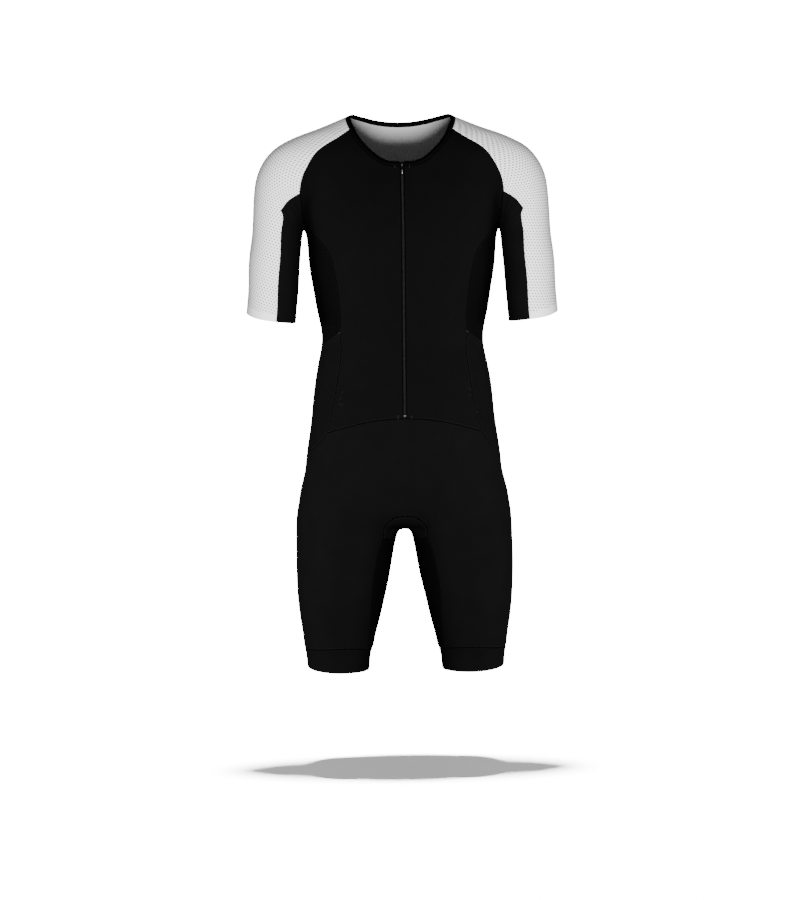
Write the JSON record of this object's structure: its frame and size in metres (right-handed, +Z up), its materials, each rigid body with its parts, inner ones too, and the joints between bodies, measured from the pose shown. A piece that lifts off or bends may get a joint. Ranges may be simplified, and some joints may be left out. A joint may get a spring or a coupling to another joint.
{
  "type": "triathlon suit",
  "caption": "One-piece short-sleeved triathlon suit with a front zip, light mesh sleeves and back yoke, dark body, side pockets and elastic leg bands, filled out as worn.",
  "frame": {"origin": "on the suit's middle plane at the height of the shoulders, 23 mm below the highest point of the neck edge, where the wearer carries the suit", "axes": "+Z up, +X to the wearer's left, +Y out of the back, so the front with the zip faces -Y"},
  "size_m": [0.5276, 0.2447, 0.9421],
  "materials": {
    "black_lycra": "matt black warp-knitted polyamide and elastane with a faint sheen",
    "black_mesh": "matt black open-knitted mesh",
    "white_mesh": "matt white knitted mesh with fine offset holes",
    "gripper_elastic": "matt black ribbed elastic band",
    "neck_binding": "matt black folded elastic binding",
    "zip_coil": "black nylon coil on woven tape",
    "zip_metal": "die-cast metal with dark satin lacquer"
  },
  "bodies": {
    "suit": {"front_left": "black_lycra", "front_right": "black_lycra", "back_yoke": "white_mesh", "back_lower": "black_lycra", "side_left": "black_mesh", "side_right": "black_mesh", "pocket_left": "black_lycra", "pocket_right": "black_lycra", "sleeve_left": "white_mesh", "sleeve_right": "white_mesh", "underarm_left": "black_lycra", "underarm_right": "black_lycra", "shorts_front": "black_lycra", "shorts_back": "black_lycra", "inner_thigh_left": "black_mesh", "inner_thigh_right": "black_mesh", "gusset": "black_lycra", "leg_band_left": "gripper_elastic", "leg_band_right": "gripper_elastic", "collar": "neck_binding", "zip_chain": "zip_coil", "zip_slider": "zip_metal", "zip_stop": "zip_metal"},
    "pull": {"zip_pull": "zip_metal"}
  },
  "joints": [
    {"name": "zip_pull_hinge", "type": "hinge", "parent": "suit", "child": "pull", "pos_m": [0, -0.08652, -0.06398], "axis": [-1, 0, 0], "range_deg": [0, 150]}
  ]
}
